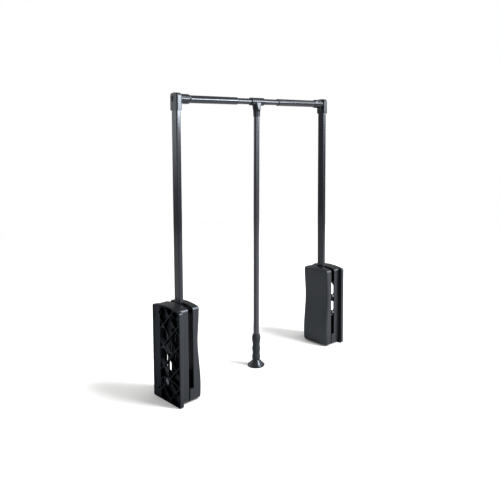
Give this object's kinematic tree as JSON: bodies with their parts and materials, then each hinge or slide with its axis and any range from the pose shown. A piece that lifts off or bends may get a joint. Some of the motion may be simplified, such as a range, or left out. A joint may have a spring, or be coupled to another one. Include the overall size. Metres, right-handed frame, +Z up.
{
  "type": "pull down closet rod",
  "caption": "Pull-down wardrobe rail: sprung arms in wall housings swing a telescopic rail forward and down when its hanging handle is pulled.",
  "frame": {"origin": "midway between the two wall faces, on the plane the housings stand on, straight below the arms", "axes": "+Z up, X along the rail, +Y towards the back of the wardrobe, so the arms swing down towards -Y"},
  "size_m": [0.718, 0.128, 0.862],
  "materials": {
    "housing_plastic": "black moulded plastic with a fine satin grain",
    "fitting_plastic": "smooth black moulded plastic, semi-gloss",
    "anthracite_tube": "glossy anthracite powder coat",
    "grip_rubber": "soft black rubber, slightly dull",
    "black_nylon": "plain black nylon",
    "zinc_plated_steel": "zinc plated, dull",
    "polished_steel": "ground and polished",
    "nitrided_steel": "ground steel, nitrided black",
    "strut_paint": "black enamel",
    "die_cast_zinc": "tumbled zinc casting, dark passivated",
    "buffer_rubber": "black rubber",
    "black_screw": "blackened steel"
  },
  "bodies": {
    "left_housing": {"left_base_shell": "housing_plastic", "left_cover": "housing_plastic", "left_cover_screws": "zinc_plated_steel", "left_cover_spacer": "black_nylon", "left_pivot_pin": "zinc_plated_steel", "left_strut_cylinder": "strut_paint", "left_strut_anchor_pin": "zinc_plated_steel", "left_stop_buffer": "buffer_rubber"},
    "left_arm": {"left_arm_foot": "die_cast_zinc", "left_pivot_bush": "black_nylon", "left_crank_pin": "polished_steel", "left_arm_tube": "anthracite_tube", "left_elbow": "fitting_plastic", "left_elbow_cap": "fitting_plastic", "left_elbow_screw": "black_screw", "left_rail_outer_tube": "anthracite_tube", "left_rail_bush": "black_nylon"},
    "left_strut": {"left_strut_rod": "nitrided_steel", "left_rod_yoke": "black_nylon"},
    "centre_rail": {"rail_centre_tube": "anthracite_tube"},
    "handle": {"tee_connector": "fitting_plastic", "handle_tube": "anthracite_tube", "handle_grip": "grip_rubber"},
    "right_arm": {"right_arm_foot": "die_cast_zinc", "right_pivot_bush": "black_nylon", "right_crank_pin": "polished_steel", "right_arm_tube": "anthracite_tube", "right_elbow": "fitting_plastic", "right_elbow_cap": "fitting_plastic", "right_elbow_screw": "black_screw", "right_rail_outer_tube": "anthracite_tube", "right_rail_bush": "black_nylon"},
    "right_housing": {"right_base_shell": "housing_plastic", "right_cover": "housing_plastic", "right_cover_screws": "zinc_plated_steel", "right_cover_spacer": "black_nylon", "right_pivot_pin": "zinc_plated_steel", "right_strut_cylinder": "strut_paint", "right_strut_anchor_pin": "zinc_plated_steel", "right_stop_buffer": "buffer_rubber"},
    "right_strut": {"right_strut_rod": "nitrided_steel", "right_rod_yoke": "black_nylon"}
  },
  "joints": [
    {"name": "lift", "type": "hinge", "parent": "left_housing", "child": "left_arm", "pos_m": [-0.3125, 0, 0.058], "axis": [1, 0, 0], "range_deg": [0, 95], "stiffness_Nm_per_rad": 6, "springref_deg": -85.94},
    {"name": "left_rail_slide", "type": "slide", "parent": "left_arm", "child": "centre_rail", "axis": [1, 0, 0], "range_m": [-0.056, 0.056]},
    {"name": "right_rail_slide", "type": "slide", "parent": "centre_rail", "child": "right_arm", "axis": [1, 0, 0], "range_m": [-0.056, 0.056]},
    {"name": "right_pivot", "type": "hinge", "parent": "right_arm", "child": "right_housing", "pos_m": [0.3125, 0, 0.058], "axis": [1, 0, 0], "range_deg": [-95, 0]},
    {"name": "left_strut_stroke", "type": "slide", "parent": "left_housing", "child": "left_strut", "axis": [0, 0, 1], "range_m": [0, 0.0356]},
    {"name": "right_strut_stroke", "type": "slide", "parent": "right_housing", "child": "right_strut", "axis": [0, 0, 1], "range_m": [0, 0.0356]},
    {"name": "handle_swing", "type": "hinge", "parent": "centre_rail", "child": "handle", "pos_m": [-0.004, 0, 0.845], "axis": [1, 0, 0], "continuous": true}
  ],
  "couplings": [
    {"joint": "right_pivot", "follows": "lift", "ratio": -1},
    {"joint": "left_strut_stroke", "follows": "lift", "m_per_rad": 0.021344},
    {"joint": "right_strut_stroke", "follows": "lift", "m_per_rad": 0.021344}
  ]
}
